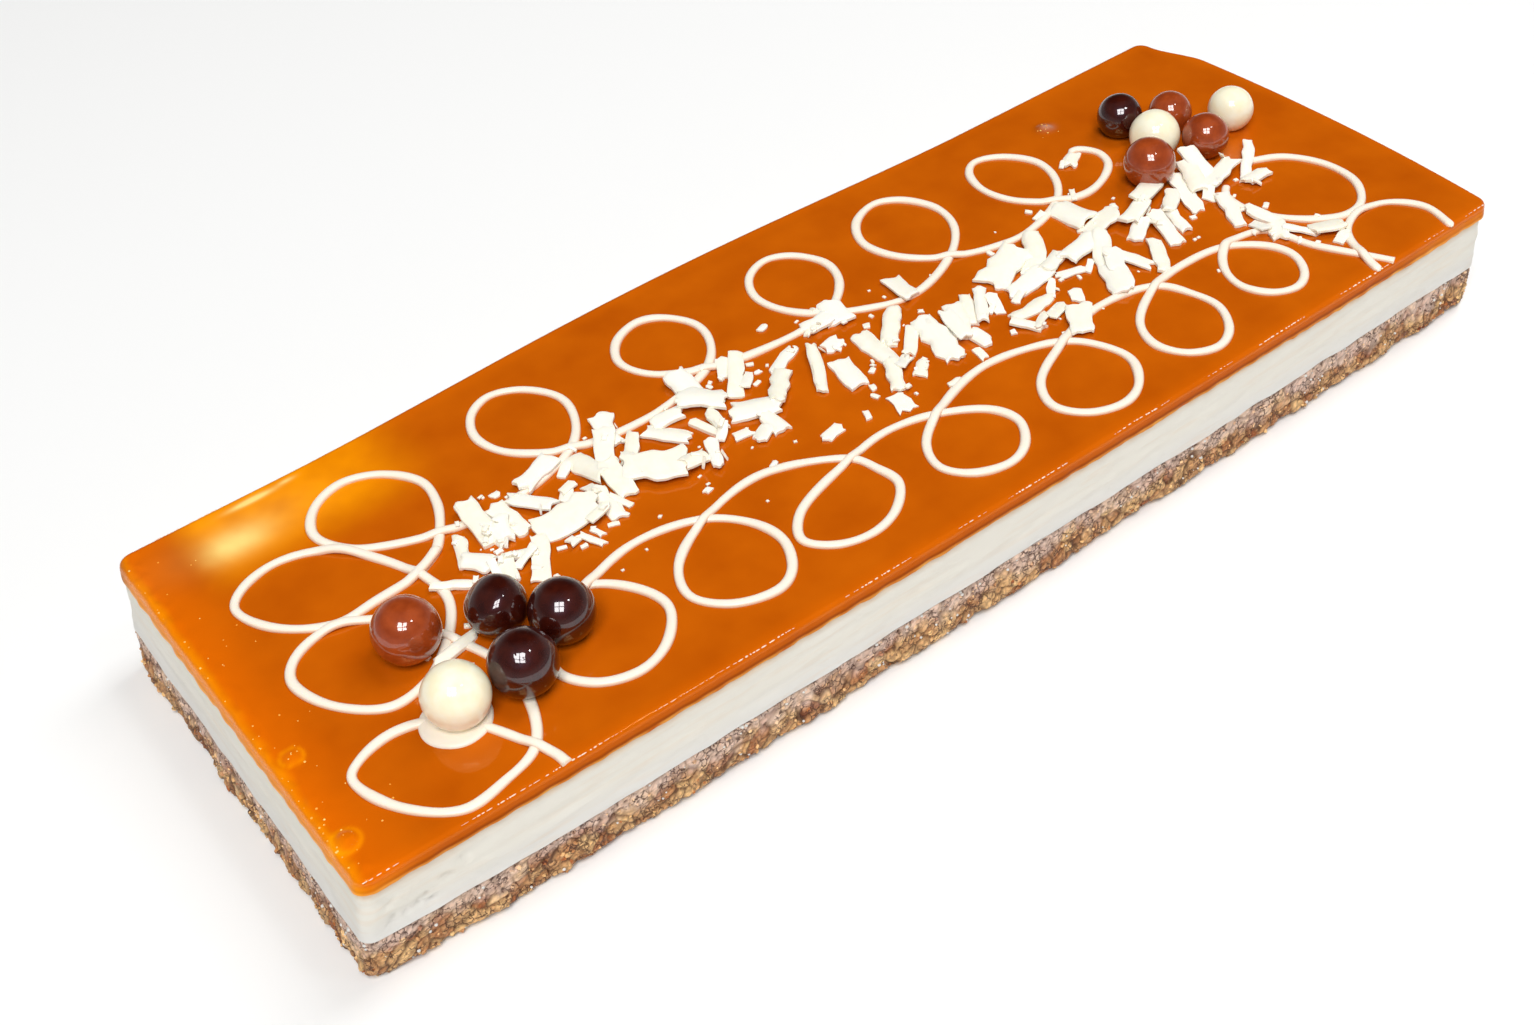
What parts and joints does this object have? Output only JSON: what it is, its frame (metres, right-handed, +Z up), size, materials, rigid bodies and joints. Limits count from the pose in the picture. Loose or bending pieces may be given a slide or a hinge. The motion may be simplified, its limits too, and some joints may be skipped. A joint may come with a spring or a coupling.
{
  "type": "dulce de leche cheesecake",
  "caption": "Long bar cheesecake with a biscuit crumb base, a cream cheese layer and a glossy caramel glaze, topped with drizzled loops, white chocolate flakes and chocolate balls.",
  "frame": {"origin": "centre of the footprint, on the underside of the crumb base", "axes": "+X along the bar towards the end with the cluster of smaller balls, +Y across it, +Z up"},
  "size_m": [0.346, 0.1292, 0.0475],
  "materials": {
    "biscuit_crumb": "coarse, crumbly, matte",
    "cream_cheese": "smooth, soft satin",
    "caramel_glaze": "mirror gloss, translucent",
    "milk_chocolate": "polished",
    "dark_chocolate": "polished",
    "white_chocolate": "polished balls, satin drizzle and flakes"
  },
  "bodies": {
    "root": {"crumb_base": "biscuit_crumb", "cream": "cream_cheese", "glaze": "caramel_glaze", "milk_ball_1": "milk_chocolate", "dark_ball_2": "dark_chocolate", "dark_ball_3": "dark_chocolate", "dark_ball_4": "dark_chocolate", "white_ball_5": "white_chocolate", "dark_ball_6": "dark_chocolate", "milk_ball_7": "milk_chocolate", "white_ball_8": "white_chocolate", "milk_ball_9": "milk_chocolate", "milk_ball_10": "milk_chocolate", "white_ball_11": "white_chocolate"}
  },
  "joints": []
}
